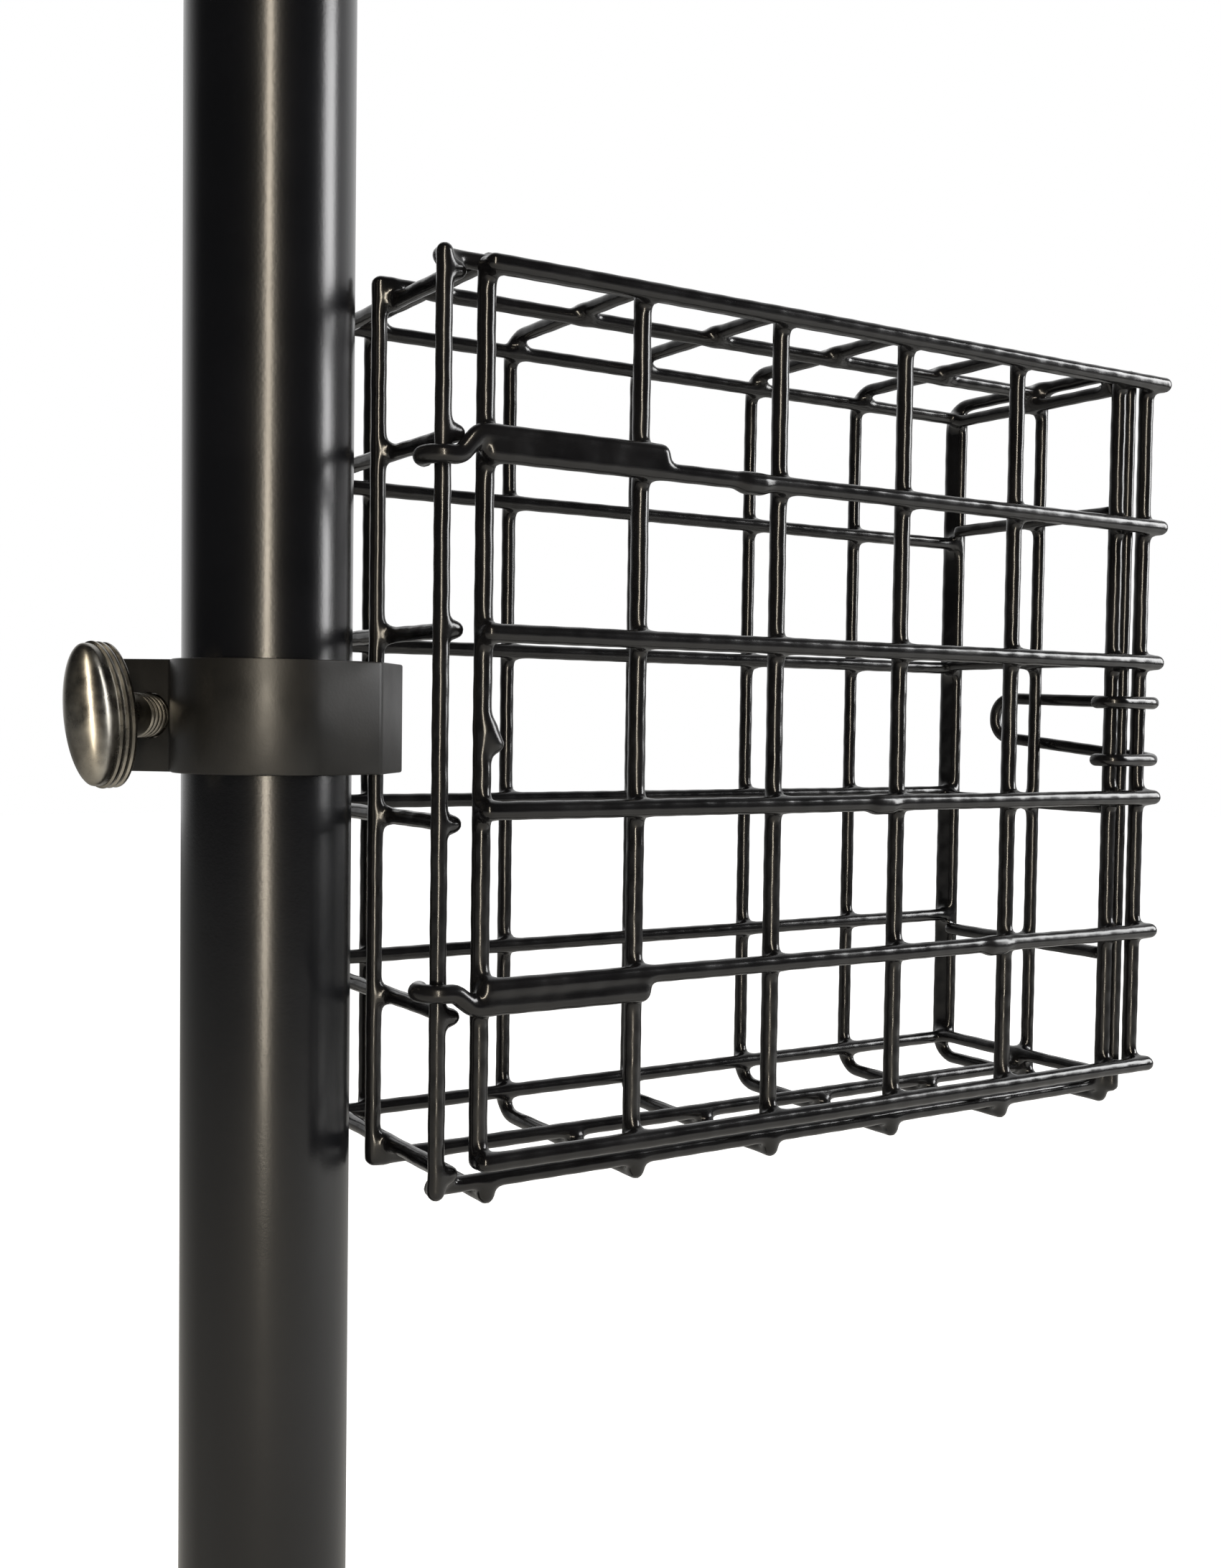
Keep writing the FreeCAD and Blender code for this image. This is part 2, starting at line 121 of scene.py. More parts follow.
def lofted(name: str, rings: Sequence[Array], sharp_deg: float, capped: bool = True) -> Any:
    """Joins closed rings of equal count into one skin.

    Args:
        name: the piece's name.
        rings: arrays of places in millimetres, one per ring.
        sharp_deg: the angle above which an edge is shown sharp.
        capped: whether the first and last rings are closed, or else joined to each other.

    Returns:
        The new object.
    """
    count = len(rings[0])
    faces: list[Sequence[int]] = []
    last = len(rings) - (1 if capped else 0)
    for row in range(last):
        a, b = row * count, ((row + 1) % len(rings)) * count
        faces += [(a + i, a + (i + 1) % count, b + (i + 1) % count, b + i) for i in range(count)]
    if capped:
        faces.append(tuple(range(count))[::-1])
        faces.append(tuple(range((len(rings) - 1) * count, len(rings) * count)))
    return mesh_object(name, np.vstack(rings), faces, sharp_deg)


def circle(radius: float, count: int) -> Array:
    """Gives the places round a circle in the XY plane, as an array of x and y."""
    turn = np.arange(count) * 2 * math.pi / count
    return radius * np.stack([np.cos(turn), np.sin(turn)], 1)


# ---------------------------------------------------------------- coated wire
@dataclass(frozen=True)
class Wire:
    """One coated wire: a chain of places in millimetres, and its radius over the coating."""

    points: tuple[Point, ...]
    radius: float

    def segments(self) -> list[Segment]:
        """Gives the wire's straight pieces, drawn back at both ends so that its tips are round.

        Returns:
            The start, end and radius of each piece.
        """
        chain = [np.array(p, float) for p in self.points]
        for tip, inner in ((0, 1), (-1, -2)):
            way = chain[inner] - chain[tip]
            chain[tip] = chain[tip] + way / np.linalg.norm(way) * min(
                self.radius * 0.92, np.linalg.norm(way) * 0.9
            )
        return [(a, b, self.radius) for a, b in zip(chain, chain[1:])]


def straight(node: str, radius: float) -> Wire:
    """Reads a straight wire's run from its CAD node.

    Args:
        node: the CAD node's name.
        radius: the wire's radius in millimetres.

    Returns:
        The wire.
    """
    low, high = node_box(node)
    middle = (low + high) / 2
    axis = int(np.argmax(high - low))
    start, end = middle.copy(), middle.copy()
    start[axis], end[axis] = low[axis], high[axis]
    return Wire((tuple(start), tuple(end)), radius)


def rounded(points: Sequence[Point], bends: Sequence[float], steps: int = 9) -> tuple[Point, ...]:
    """Rounds the inner corners of a chain.

    Args:
        points: the chain's corners in millimetres.
        bends: the bend radius at each inner corner.
        steps: how many straight pieces each bend is drawn with.

    Returns:
        The places along the rounded chain.
    """
    spots = [np.array(p, float) for p in points]
    made = [spots[0]]
    for before, at, after, radius in zip(spots, spots[1:], spots[2:], bends):
        into = (at - before) / np.linalg.norm(at - before)
        out = (after - at) / np.linalg.norm(after - at)
        half = math.acos(float(np.clip(into @ out, -1, 1))) / 2
        way = (out - into) / np.linalg.norm(out - into)
        centre = at + way * radius / math.cos(half)
        side = at - into * radius * math.tan(half) - centre
        for step in range(steps + 1):
            turn = 2 * half * step / steps
            made.append(centre + side * math.cos(turn) + into * radius * math.sin(turn))
    made.append(spots[-1])
    kept = [made[0]]
    for spot in made[1:]:
        if np.linalg.norm(spot - kept[-1]) > 1e-3:
            kept.append(spot)
    return tuple(tuple(map(float, spot)) for spot in kept)


@dataclass
class CoatedSkin:
    """One dipped coating over a group of wires, with the fillets that it leaves at each crossing.

    The skin is where a smooth union of the wires' distances is zero. It is drawn as a net of small
    quads, whose corners are then moved on to the skin itself.
    """

    name: str
    wires: list[Wire]
    fillet: float = 2.1
    step: float = 0.5
    waviness: float = 0.035
    drips: list[Segment] = field(default_factory=list)

    def _groups(self) -> list[list[Segment]]:
        """Gives each wire's and each drip's segments, as one group apiece."""
        return [wire.segments() for wire in self.wires] + [[drip] for drip in self.drips]

    @staticmethod
    def _distance(spots: Array, segments: list[Segment]) -> Array:
        """Measures how far places are from the nearest of some round segments."""
        best = np.full(len(spots), 1e3)
        for start, end, radius in segments:
            run = end - start
            along = np.clip((spots - start) @ run / (run @ run), 0, 1)
            best = np.minimum(best, np.linalg.norm(spots - start - along[:, None] * run, axis=1) - radius)
        return best

    def _smooth_least(self, a: Array, b: Array) -> Array:
        """Blends two distances into their least, with a fillet where they are about equal."""
        share = np.maximum(self.fillet - np.abs(a - b), 0) / self.fillet
        return np.minimum(a, b) - share * share * self.fillet / 4

    def distance(self, spots: Array) -> Array:
        """Measures the signed distance from places to the coating's skin.

        Args:
            spots: places in millimetres.

        Returns:
            The distances, below zero inside the skin.
        """
        reach = self.fillet + 1.5
        best = np.full(len(spots), reach)
        for group in self._groups():
            ends = np.array([p for start, end, _ in group for p in (start, end)])
            pad = reach + group[0][2]
            near = ((spots > ends.min(0) - pad) & (spots < ends.max(0) + pad)).all(1).nonzero()[0]
            if len(near):
                best[near] = self._smooth_least(best[near], self._distance(spots[near], group))
        wave = np.sin(spots @ (0.55, 0.83, 0.47)) * np.sin(spots @ (-0.71, 0.32, 0.93) + 1.3)
        return best - self.waviness * wave

    def _field(self) -> tuple[Array, Array]:
        """Samples the distance on a grid round the wires.

        Returns:
            The grid of distances and its lowest corner.
        """
        groups = self._groups()
        ends = np.array([p for group in groups for start, end, _ in group for p in (start, end)])
        low = ends.min(0) - 3.1
        shape = tuple(np.ceil((ends.max(0) + 3.1 - low) / self.step).astype(int) + 1)
        reach = self.fillet + 1.0
        grid = np.full(shape, reach, np.float32)
        for group in groups:
            places = np.array([p for start, end, _ in group for p in (start, end)])
            pad = reach + group[0][2]
            first = np.maximum(np.floor((places.min(0) - pad - low) / self.step).astype(int), 0)
            last = np.minimum(np.ceil((places.max(0) + pad - low) / self.step).astype(int) + 1, shape)
            window = tuple(slice(a, b) for a, b in zip(first, last))
            for slab in range(first[0], last[0], 24):
                part = (slice(slab, min(slab + 24, last[0])), window[1], window[2])
                axes = [np.arange(s.start, s.stop) * self.step + low[i] for i, s in enumerate(part)]
                spots = np.stack(np.meshgrid(*axes, indexing="ij"), -1).reshape(-1, 3)
                old = grid[part]
                grid[part] = self._smooth_least(
                    old, self._distance(spots, group).reshape(old.shape).astype(np.float32)
                )
        return grid, low

    def _net(self, grid: Array, low: Array) -> tuple[Array, Array]:
        """Draws a net of quads where the grid changes sign.

        Args:
            grid: distances on the grid.
            low: the grid's lowest corner.

        Returns:
            The net's places and its quads.
        """
        inside = grid < 0
        corners = list(product((0, 1), repeat=3))
        size = np.array(grid.shape) - 1
        total = sum(
            inside[i:size[0] + i, j:size[1] + j, k:size[2] + k].astype(np.int8) for i, j, k in corners
        )
        cells = np.argwhere((total > 0) & (total < 8))
        number = np.full(size, -1, np.int64)
        number[tuple(cells.T)] = np.arange(len(cells))
        values = {c: grid[tuple((cells + c).T)] for c in corners}
        places, hits = np.zeros((len(cells), 3)), np.zeros(len(cells))
        for a in corners:
            for axis in range(3):
                if a[axis]:
                    continue
                b = tuple(1 if i == axis else a[i] for i in range(3))
                cross = (values[a] < 0) != (values[b] < 0)
                share = np.where(cross, values[a] / np.where(cross, values[a] - values[b], 1), 0)
                spot = np.tile(np.array(a, float), (len(cells), 1))
                spot[:, axis] = share
                places += spot * cross[:, None]
                hits += cross
        places = (cells + places / hits[:, None]) * self.step + low
        quads = []
        for axis in range(3):
            u, v = (axis + 1) % 3, (axis + 2) % 3
            step = np.eye(3, dtype=int)
            here = [slice(0, -1) if i == axis else slice(1, -1) for i in range(3)]
            there = [slice(1, None) if i == axis else slice(1, -1) for i in range(3)]
            first, second = inside[tuple(here)], inside[tuple(there)]
            for leaving in (True, False):
                edges = np.argwhere((first != second) & (first == leaving))
                edges[:, u] += 1
                edges[:, v] += 1
                ring = [edges - step[u] - step[v], edges - step[v], edges, edges - step[u]]
                quad = np.stack([number[tuple(cell.T)] for cell in ring], 1)
                quads.append(quad if leaving else quad[:, ::-1])
        return places, np.vstack(quads)

    def build(self) -> Any:
        """Makes the coated wires' mesh.

        Returns:
            The new object.
        """
        places, quads = self._net(*self._field())
        nudge = 0.02
        for _ in range(3):
            gap = self.distance(places)
            slope = np.stack(
                [self.distance(places + nudge * np.eye(3)[i]) - gap for i in range(3)], 1
            ) / nudge
            length = np.maximum((slope * slope).sum(1), 0.05)
            move = slope * (gap / length)[:, None]
            reach = np.linalg.norm(move, axis=1)
            places -= move * np.minimum(1, 0.3 / np.maximum(reach, 1e-9))[:, None]
        mesh = bpy.data.meshes.new(self.name)
        mesh.vertices.add(len(places))
        mesh.vertices.foreach_set("co", (places * MM).ravel())
        mesh.loops.add(quads.size)
        mesh.loops.foreach_set("vertex_index", quads.ravel().astype(np.int32))
        mesh.polygons.add(len(quads))
        mesh.polygons.foreach_set("loop_start", np.arange(0, quads.size, 4, dtype=np.int32))
        mesh.polygons.foreach_set("use_smooth", np.ones(len(quads), bool))
        mesh.update(calc_edges=True)
        mesh.validate()
        piece = bpy.data.objects.new(self.name, mesh)
        bpy.context.scene.collection.objects.link(piece)
        log.info("%s: %d places, %d faces", self.name, len(places), len(quads))
        return piece


# ---------------------------------------------------------------- finishes
def linear(hex_colour: str) -> tuple[float, float, float, float]:
    """Turns an sRGB hex colour into linear light.

    Args:
        hex_colour: six hex digits after a hash.

    Returns:
        Red, green, blue and a full alpha.
    """
    parts = [int(hex_colour[i:i + 2], 16) / 255 for i in (1, 3, 5)]
    light = [p / 12.92 if p <= 0.04045 else ((p + 0.055) / 1.055) ** 2.4 for p in parts]
    return (*light, 1.0)


def add_node(tree: Any, kind: str, links: dict[str, Any] | None = None, **settings: Any) -> Any:
    """Adds a node with its settings, socket values and links.

    Args:
        tree: the node tree.
        kind: the node's type name.
        links: input name or number to a value, or to the output socket that feeds it.
        settings: the node's own properties.

    Returns:
        The new node.
    """
    node = tree.nodes.new(kind)
    for name, value in settings.items():
        setattr(node, name, value)
    for name, value in (links or {}).items():
        if isinstance(value, bpy.types.NodeSocket):
            tree.links.new(value, node.inputs[name])
        else:
            node.inputs[name].default_value = value
    return node


def ramp_node(tree: Any, factor: Any, stops: Sequence[tuple[float, str]]) -> Any:
    """Adds a colour ramp over hex colours and returns its colour output."""
    node = add_node(tree, "ShaderNodeValToRGB", {"Fac": factor})
    elements = node.color_ramp.elements
    while len(elements) < len(stops):
        elements.new(0.5)
    for element, (place, colour) in zip(elements, stops):
        element.position, element.color = place, linear(colour)
    return node.outputs["Color"]


@dataclass(frozen=True)
class Coat:
    """A painted or dipped steel surface, whose texture is measured in millimetres."""

    title: str
    dark: str
    light: str
    patch_mm: float
    grain_mm: float
    grain_height_mm: float
    swell_mm: float
    swell_height_mm: float
    rough_low: float
    rough_high: float
    coat: float = 0.0
    coat_rough: float = 0.1
    metallic: float = 0.0
    stretch: Point = (1.0, 1.0, 1.0)

    def make(self) -> Any:
        """Builds the material.

        Returns:
            The material.
        """
        material = bpy.data.materials.new(self.title)
        material.use_nodes = True
        tree = material.node_tree
        tree.nodes.clear()
        place = add_node(tree, "ShaderNodeTexCoord").outputs["Object"]
        stretched = add_node(
            tree, "ShaderNodeMapping", {"Vector": place, "Scale": self.stretch}
        ).outputs["Vector"]
        patches = self._noise(tree, place, self.patch_mm, 4)
        grain = self._noise(tree, stretched, self.grain_mm, 3)
        swell = self._noise(tree, place, self.swell_mm, 1)
        colour = ramp_node(tree, patches, [(0.3, self.dark), (0.72, self.light)])
        rough = add_node(
            tree, "ShaderNodeMapRange",
            {"Value": patches, "From Min": 0.3, "From Max": 0.7,
             "To Min": self.rough_low, "To Max": self.rough_high},
        ).outputs["Result"]
        fine = add_node(
            tree, "ShaderNodeBump",
            {"Height": grain, "Distance": self.grain_height_mm * MM, "Strength": 1.0},
        ).outputs["Normal"]
        bumped = add_node(
            tree, "ShaderNodeBump",
            {"Height": swell, "Distance": self.swell_height_mm * MM, "Strength": 1.0, "Normal": fine},
        ).outputs["Normal"]
        shader = add_node(
            tree, "ShaderNodeBsdfPrincipled",
            {"Base Color": colour, "Roughness": rough, "Normal": bumped, "Metallic": self.metallic,
             "Coat Weight": self.coat, "Coat Roughness": self.coat_rough},
        )
        add_node(tree, "ShaderNodeOutputMaterial", {"Surface": shader.outputs["BSDF"]})
        return material

    @staticmethod
    def _noise(tree: Any, place: Any, scale_mm: float, detail: float) -> Any:
        """Adds a noise whose lumps are about a given size across, and returns its output."""
        return add_node(
            tree, "ShaderNodeTexNoise",
            {"Vector": place, "Scale": 1 / (scale_mm * MM), "Detail": detail, "Roughness": 0.55},
        ).outputs["Fac"]


# Steel wire dipped in black PVC: a thick soft-edged skin, glossy and a little wavy along the wire.
DIPPED_WIRE = Coat(
    "pvc_dip_coated_wire", "#08080a", "#121214", patch_mm=9, grain_mm=0.5, grain_height_mm=0.006,
    swell_mm=3.2, swell_height_mm=0.10, rough_low=0.15, rough_high=0.26,
)
# Powder-coated steel tube: satin black with a very fine orange peel.
POWDER_TUBE = Coat(
    "powder_coated_steel_tube", "#06070a", "#0c0d11", patch_mm=30, grain_mm=0.45,
    grain_height_mm=0.010, swell_mm=6, swell_height_mm=0.02, rough_low=0.21, rough_high=0.26,
)
# Powder-coated steel strip: satin black with a faint warm bloom.
POWDER_STRIP = Coat(
    "powder_coated_steel_strip", "#0a0a0a", "#151413", patch_mm=12, grain_mm=0.4,
    grain_height_mm=0.010, swell_mm=4, swell_height_mm=0.03, rough_low=0.34, rough_high=0.46,
)
# Zinc-plated steel, turned and tumbled: bright grey metal with fine drawn marks and dull patches.
ZINC_SCREW = Coat(
    "zinc_plated_steel", "#6f6c66", "#a7a39a", patch_mm=4, grain_mm=0.3, grain_height_mm=0.006,
    swell_mm=2.5, swell_height_mm=0.03, rough_low=0.20, rough_high=0.38, metallic=1.0,
    stretch=(1.0, 1.0, 0.35),
)


class Finishes:
    """The finishes, made once and shared."""

    def __init__(self) -> None:
        """Builds every material."""
        self.wire = DIPPED_WIRE.make()
        self.tube = POWDER_TUBE.make()
        self.strip = POWDER_STRIP.make()
        self.zinc = ZINC_SCREW.make()


def dress(piece: Any, material: Any, body: str, nodes: Sequence[str]) -> None:
    """Gives a piece its material, its body and the CAD nodes that it stands for.

    Args:
        piece: the object.
        material: its material.
        body: the CAD body that it rides on.
        nodes: the CAD nodes that it replaces.
    """
    piece.data.materials.clear()
    piece.data.materials.append(material)
    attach(piece, body)
    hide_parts(*nodes)
    log.info("%s rides on %s and stands for %d nodes", piece.name, body, len(nodes))


# ---------------------------------------------------------------- sub-assemblies
@dataclass
class CageBody:
    """The welded cage: hoops, long wires and both ends, under one coating."""

    radius: float = 1.15
    bend: float = 4.5
    weld_set_down: float = 1.2
    top_shorter: float = 2.8
    bottom_shorter: float = 0.9

    def wires(self) -> list[Wire]:
        """Reads the cage's wires from the frame.

        Returns:
            Every wire of the cage.
        """
        made = [straight(node, self.radius) for node in self.straight_nodes()]
        for node in nodes_named("hoop_"):
            low, high = node_box(node)
            x = float(low[0] + high[0]) / 2
            front, back = float(low[1]), float(high[1]) - self.radius
            bottom, top = float(low[2]) + self.radius, float(high[2]) - self.radius
            top -= self.weld_set_down
            corners = [
                (x, front + self.bottom_shorter, bottom), (x, back, bottom),
                (x, back, top), (x, front + self.top_shorter, top),
            ]
            made.append(Wire(rounded(corners, [self.bend] * 2), self.radius))
        return made

    @staticmethod
    def straight_nodes() -> list[str]:
        """Lists the cage's straight wires."""
        return nodes_named("top_", "bottom_", "back_", "left_", "right_")

    def build(self, finishes: Finishes) -> None:
        """Makes and dresses the cage."""
        skin = CoatedSkin("cage_coated_wires", self.wires(), step=0.56)
        nodes = self.straight_nodes() + nodes_named("hoop_")
        dress(skin.build(), finishes.wire, "feeder", nodes)


@dataclass
class Door:
    """The door: uprights, rails and two hinge hooks, under one coating."""

    radius: float = 1.3
    eye: float = 2.75
    wrap_deg: float = 150.0
    step_outer: float = 4.05
    step_inner: float = 1.3
    step_bend: float = 2.2
    hooks: dict[str, tuple[float, float]] = field(
        default_factory=lambda: {"upper": (34.75, 3.4), "lower": (32.65, -2.25)}
    )

    def hook(self, name: str) -> Wire:
        """Draws a hinge hook about the hinge upright.

        Args:
            name: upper or lower.

        Returns:
            The hook's wire.
        """
        reach, step = self.hooks[name]
        low, high = node_box(f"hinge_hook_{name}")
        loop_z = float(low[2]) + self.radius if step > 0 else float(high[2]) - self.radius
        hinge = self.hinge()
        turns = [math.radians(270 - self.wrap_deg * (1 - i / 12)) for i in range(13)]
        curl = [(math.cos(t) * self.eye, math.sin(t) * self.eye, 0.0) for t in turns]
        run = [
            curl[-1], (self.step_inner, -self.eye, 0.0), (self.step_outer, -self.eye, step),
            (reach, -self.eye, step),
        ]
        chain = curl[:-1] + list(rounded(run, [self.step_bend] * 2))
        return Wire(tuple((hinge[0] + x, hinge[1] + y, loop_z + z) for x, y, z in chain), self.radius)

    @staticmethod
    def hinge() -> Array:
        """Gives the hinge upright's axis, as x and y."""
        low, high = node_box("left_end_upright_front")
        return ((low + high) / 2)[:2]

    def drips(self) -> list[Segment]:
        """Gives the runs of coating that set on the door's first upright and under its rails."""
        low, high = node_box("door_upright_1")
        x, y, z = (low + high) / 2
        made = [(np.array([x + 1.0, y - 0.4, z - 1.7]), np.array([x + 2.0, y - 0.5, z - 3.6]), 0.95)]
        runs = (("door_rail_2", 44.0, 0.5), ("door_rail_4", 71.0, 0.42), ("door_rail_5", 97.0, 0.5))
        for node, along, drop in runs:
            low, high = node_box(node)
            spot = np.array([low[0] + along, (low[1] + high[1]) / 2, low[2] + 0.75])
            made.append((spot, spot + (2.2, 0, 0), drop + 0.45))
        return made

    def build(self, finishes: Finishes) -> None:
        """Makes and dresses the door."""
        nodes = nodes_named("door_upright_", "door_rail_")
        wires = [straight(node, self.radius) for node in nodes]
        wires += [self.hook(name) for name in self.hooks]
        skin = CoatedSkin("door_coated_wires", wires, step=0.44, drips=self.drips())
        nodes += nodes_named("hinge_hook_")
        dress(skin.build(), finishes.wire, "door", nodes)


@dataclass
class LatchClip:
    """The latch clip: a hairpin of wire whose ends curl round the door's last upright."""

    radius: float = 1.1
    eye: float = 2.7
    wrap_deg: float = 119.0
    reach: float = 10.5
    eye_heights: tuple[float, float] = (4.3, -6.0)
    nose_heights: tuple[float, float] = (5.25, -2.25)
    nose_shift: float = 4.7
    length: float = 32.6
    bend: float = 3.2

    def build(self, finishes: Finishes) -> None:
        """Makes and dresses the clip."""
        low, high = node_box("door_upright_6")
        at = (low + high) / 2
        halves = []
        for eye_z, nose_z in zip(self.eye_heights, self.nose_heights):
            turns = [math.radians(270 - self.wrap_deg * (1 - i / 12)) for i in range(13)]
            curl = [(math.cos(t) * self.eye, math.sin(t) * self.eye, eye_z) for t in turns]
            halves.append((curl, (self.reach, -self.eye, eye_z), (self.nose_shift, self.length, nose_z)))
        upper, lower = halves
        nose = (self.nose_heights[0] - self.nose_heights[1]) / 2 * 0.95
        corners = [upper[0][-1], upper[1], upper[2], lower[2], lower[1], lower[0][-1]]
        run = rounded(corners, [self.bend, nose, nose, self.bend])
        chain = upper[0][:-1] + list(run) + lower[0][:-1][::-1]
        wire = Wire(tuple((at[0] + x, at[1] + y, at[2] + z) for x, y, z in chain), self.radius)
        skin = CoatedSkin("latch_clip_wire", [wire], step=0.3, waviness=0.02)
        dress(skin.build(), finishes.wire, "latch", ["latch_clip"])


@dataclass
class PoleSection:
    """The pole section: a tube with a swaged upper end."""

    outer: float = 12.0
    inner: float = 10.8
    neck: float = 10.7
    bore: float = 9.5
    length: float = 400.0
    shoulder: float = 365.0
    swage: float = 361.0
    edge: float = 0.3
    facets: int = 128

    def build(self, finishes: Finishes) -> None:
        """Makes and dresses the tube."""
        e = self.edge
        profile = [
            (self.inner, e), (self.inner + e, 0), (self.outer - e, 0), (self.outer, e),
            (self.outer, self.swage - 1), (self.outer - 0.08, self.swage),
            (self.neck + 0.08, self.shoulder), (self.neck, self.shoulder + 1),
            (self.neck, self.length - e), (self.neck - e, self.length),
            (self.bore + e, self.length), (self.bore, self.length - e),
            (self.bore, self.shoulder), (self.inner, self.swage),
        ]
        round_edge = circle(1.0, self.facets)
        rings = [
            np.column_stack([round_edge * radius, np.full(self.facets, height)])
            for radius, height in profile
        ]
        tube = lofted("pole_tube", rings[::-1], 32, capped=False)
        dress(tube, finishes.tube, "pole_section", ["pole"])


@dataclass
class StrapFrame:
    """The clamp strap's own frame: X square to its web, Y away from the screw's grip."""

    angle_deg: float = -40.52
    height: float = 199.7

    def matrix(self) -> Matrix:
        """Gives the turn and shift from the strap's frame in millimetres to the row's frame."""
        turn = Matrix.Rotation(math.radians(self.angle_deg), 4, "Z")
        return Matrix.Translation((0, 0, self.height)) @ turn

    def to_row(self, spots: Array) -> Array:
        """Moves places from the strap's frame to the row's frame."""
        matrix = np.array(self.matrix())
        return spots @ matrix[:3, :3].T + matrix[:3, 3]


@dataclass
class ClampStrap:
    """The clamp strap: bent strip round the pole and one upright, with two drilled tabs."""

    thick: float = 1.5
    width: float = 16.0
    ring: float = 12.8
    web_x: float = 16.23
    web_start: float = 0.3
    front_bend: float = 1.0
    back_bend: float = 2.6
    tab_offset: float = 3.75
    tab_bend: float = 1.25
    tab_end: float = 21.8
    screw_x: float = -16.175
    hole: float = 3.35
    collar: float = 4.275
    collar_height: float = 2.5
    thread_bore: float = 3.225
    edge: float = 0.28

    def centre_line(self) -> Array:
        """Draws the strip's centre line in the strap's frame.

        Returns:
            Places along it, as x and y.
        """
        root_x = -math.sqrt((self.ring + self.tab_bend) ** 2 - (self.tab_offset + self.tab_bend) ** 2)
        root_y = self.tab_offset + self.tab_bend
        root_turn = math.atan2(root_y, root_x)
        corner = math.hypot(self.web_x, self.web_start)
        leave = math.atan2(self.web_start, self.web_x) - math.acos(self.ring / corner)

        def bend(cx: float, cy: float, radius: float, start: float, end: float, count: int) -> list[Point]:
            """Gives places round an arc."""
            turns = np.linspace(start, end, count)
            return [(cx + radius * math.cos(t), cy + radius * math.sin(t), 0.0) for t in turns]

        line: list[Point] = [(-self.tab_end, -self.tab_offset, 0.0)]
        line += bend(root_x, -root_y, self.tab_bend, math.pi / 2, math.pi - root_turn, 7)
        line += bend(0, 0, self.ring, -root_turn, leave, 60)
        pocket = [
            line[-1], (self.web_x, self.web_start, 0.0), (self.web_x, self.ring, 0.0), (0.0, self.ring, 0.0),
        ]
        line += list(rounded(pocket, [self.front_bend, self.back_bend], 10))[1:]
        line += bend(0, 0, self.ring, math.pi / 2, root_turn, 40)[1:]
        line += bend(root_x, root_y, self.tab_bend, root_turn - math.pi, -math.pi / 2, 7)
        line.append((-self.tab_end, self.tab_offset, 0.0))
        spots = np.array(line)[:, :2]
        keep = np.r_[True, np.linalg.norm(np.diff(spots, axis=0), axis=1) > 1e-3]
        return spots[keep]

    def rings(self) -> list[Array]:
        """Gives the strip's section, with eased edges, at each place along its centre line."""
        line = self.centre_line()
        way = np.gradient(line, axis=0)
        way /= np.linalg.norm(way, axis=1)[:, None]
        side = np.stack([-way[:, 1], way[:, 0]], 1)
        t, w, e = self.thick / 2, self.width / 2, self.edge
        section = [
            (-t, -w + e), (-t, w - e), (-t + e * 0.3, w - e * 0.3), (-t + e, w), (t - e, w),
            (t - e * 0.3, w - e * 0.3), (t, w - e), (t, -w + e), (t - e * 0.3, -w + e * 0.3),
            (t - e, -w), (-t + e, -w), (-t + e * 0.3, -w + e * 0.3),
        ]
        return [
            np.array([[*(spot + out * across), up] for across, up in section])
            for spot, out in zip(line, side)
        ]

    def build(self, finishes: Finishes, home: StrapFrame) -> None:
        """Makes and dresses the strap."""
        strap = lofted("clamp_strap_strip", [home.to_row(ring) for ring in self.rings()], 28)
        face = self.tab_offset + self.thick / 2
        collar = self._plug("collar", self.collar, self.tab_offset, face + self.collar_height, home)
        self._combine(strap, collar, Join.ADD)
        cuts = (
            ("front_hole", self.hole, -face - 2, 0.0),
            ("thread_bore", self.thread_bore, 0.0, face + self.collar_height + 2),
        )
        for name, radius, start, end in cuts:
            self._combine(strap, self._plug(name, radius, start, end, home), Join.CUT)
        strap.data.set_sharp_from_angle(angle=math.radians(28))
        dress(strap, finishes.strip, "feeder", ["clamp_strap"])

    def _plug(self, name: str, radius: float, start: float, end: float, home: StrapFrame) -> Any:
        """Makes a round plug along the screw's axis, for joining or cutting."""
        edge = circle(radius, 64)
        rings = [
            home.to_row(np.column_stack([edge[:, 0] + self.screw_x, np.full(64, y), edge[:, 1]]))
            for y in (end, start)
        ]
        return lofted(name, rings, 30)

    @staticmethod
    def _combine(target: Any, tool: Any, join: Join) -> None:
        """Applies a boolean with a tool piece, and removes the tool."""
        change = target.modifiers.new(join.name.lower(), "BOOLEAN")
        change.operation, change.object, change.solver = join.value, tool, "EXACT"
        bpy.context.view_layer.update()
        graph = bpy.context.evaluated_depsgraph_get()
        made = bpy.data.meshes.new_from_object(target.evaluated_get(graph))
        target.modifiers.clear()
        target.data = made
        bpy.data.objects.remove(tool)


